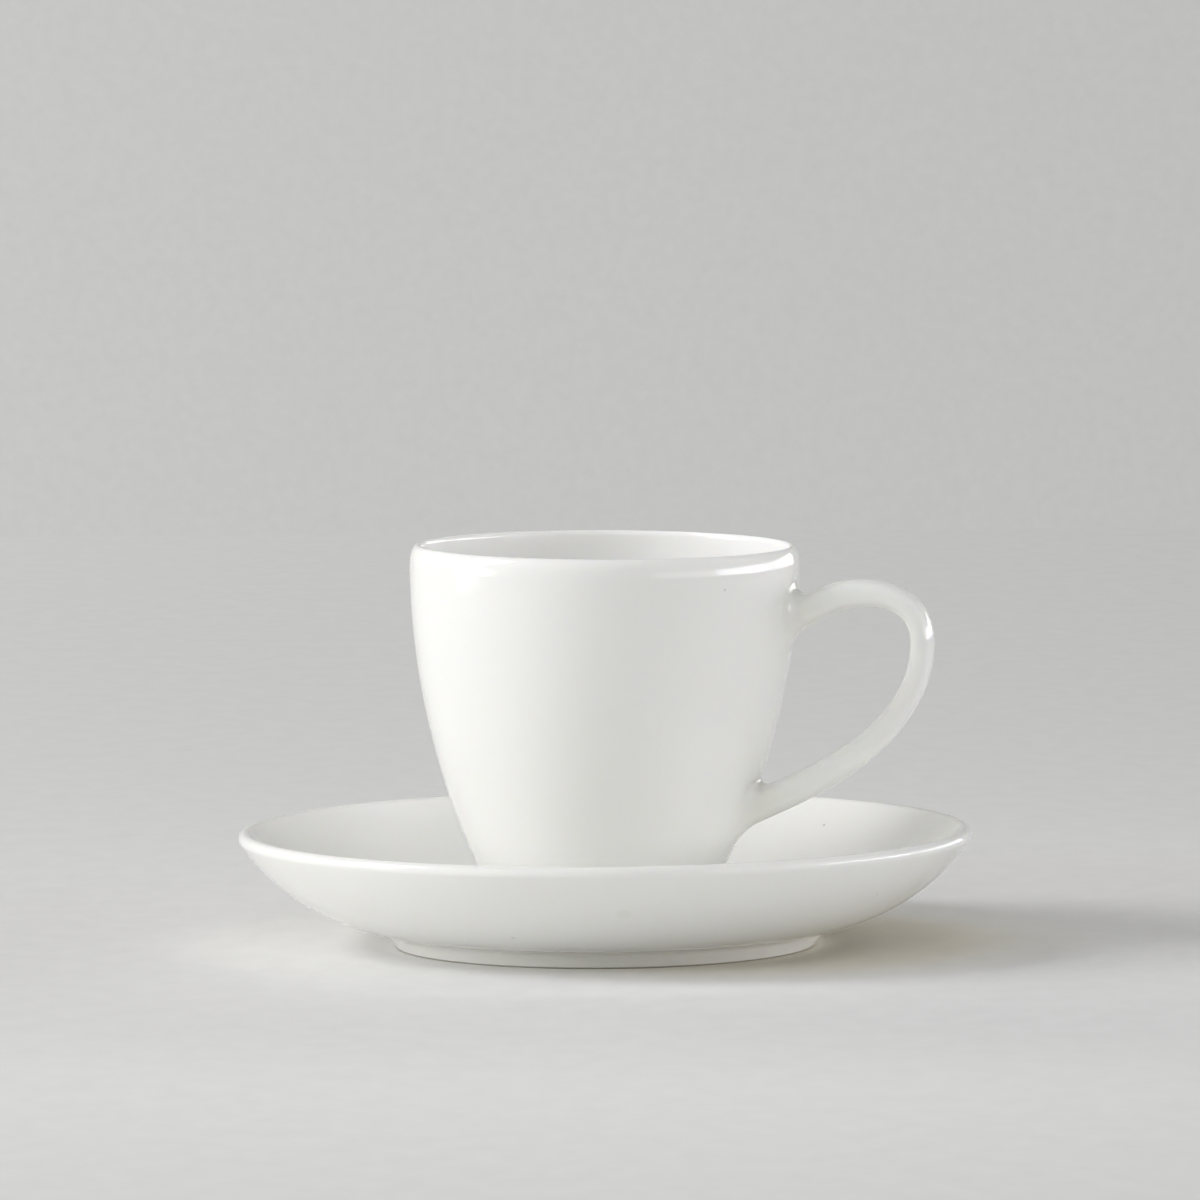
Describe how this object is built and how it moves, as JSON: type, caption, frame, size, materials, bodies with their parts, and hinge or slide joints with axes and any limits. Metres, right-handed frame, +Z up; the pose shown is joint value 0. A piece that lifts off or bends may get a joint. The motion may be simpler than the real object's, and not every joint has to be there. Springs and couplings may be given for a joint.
{
  "type": "espresso cup with saucer",
  "caption": "Small tapered espresso cup with an ear-shaped loop handle, standing in the well of a coupe saucer on a foot ring. The cup lifts off.",
  "frame": {"origin": "middle of the flat ring that the saucer stands on, at table height", "axes": "+Z up along the axis of the cup and saucer, +X along the handle, away from the cup"},
  "size_m": [0.12, 0.12, 0.0657],
  "materials": {
    "glazed_china": "clear gloss glaze over warm white china"
  },
  "bodies": {
    "saucer": {"saucer": "glazed_china"},
    "cup": {"cup_body": "glazed_china", "cup_handle": "glazed_china"}
  },
  "joints": [
    {"name": "cup_lift", "type": "slide", "parent": "saucer", "child": "cup", "axis": [0, 0, 1], "range_m": [0, 0.1]}
  ]
}
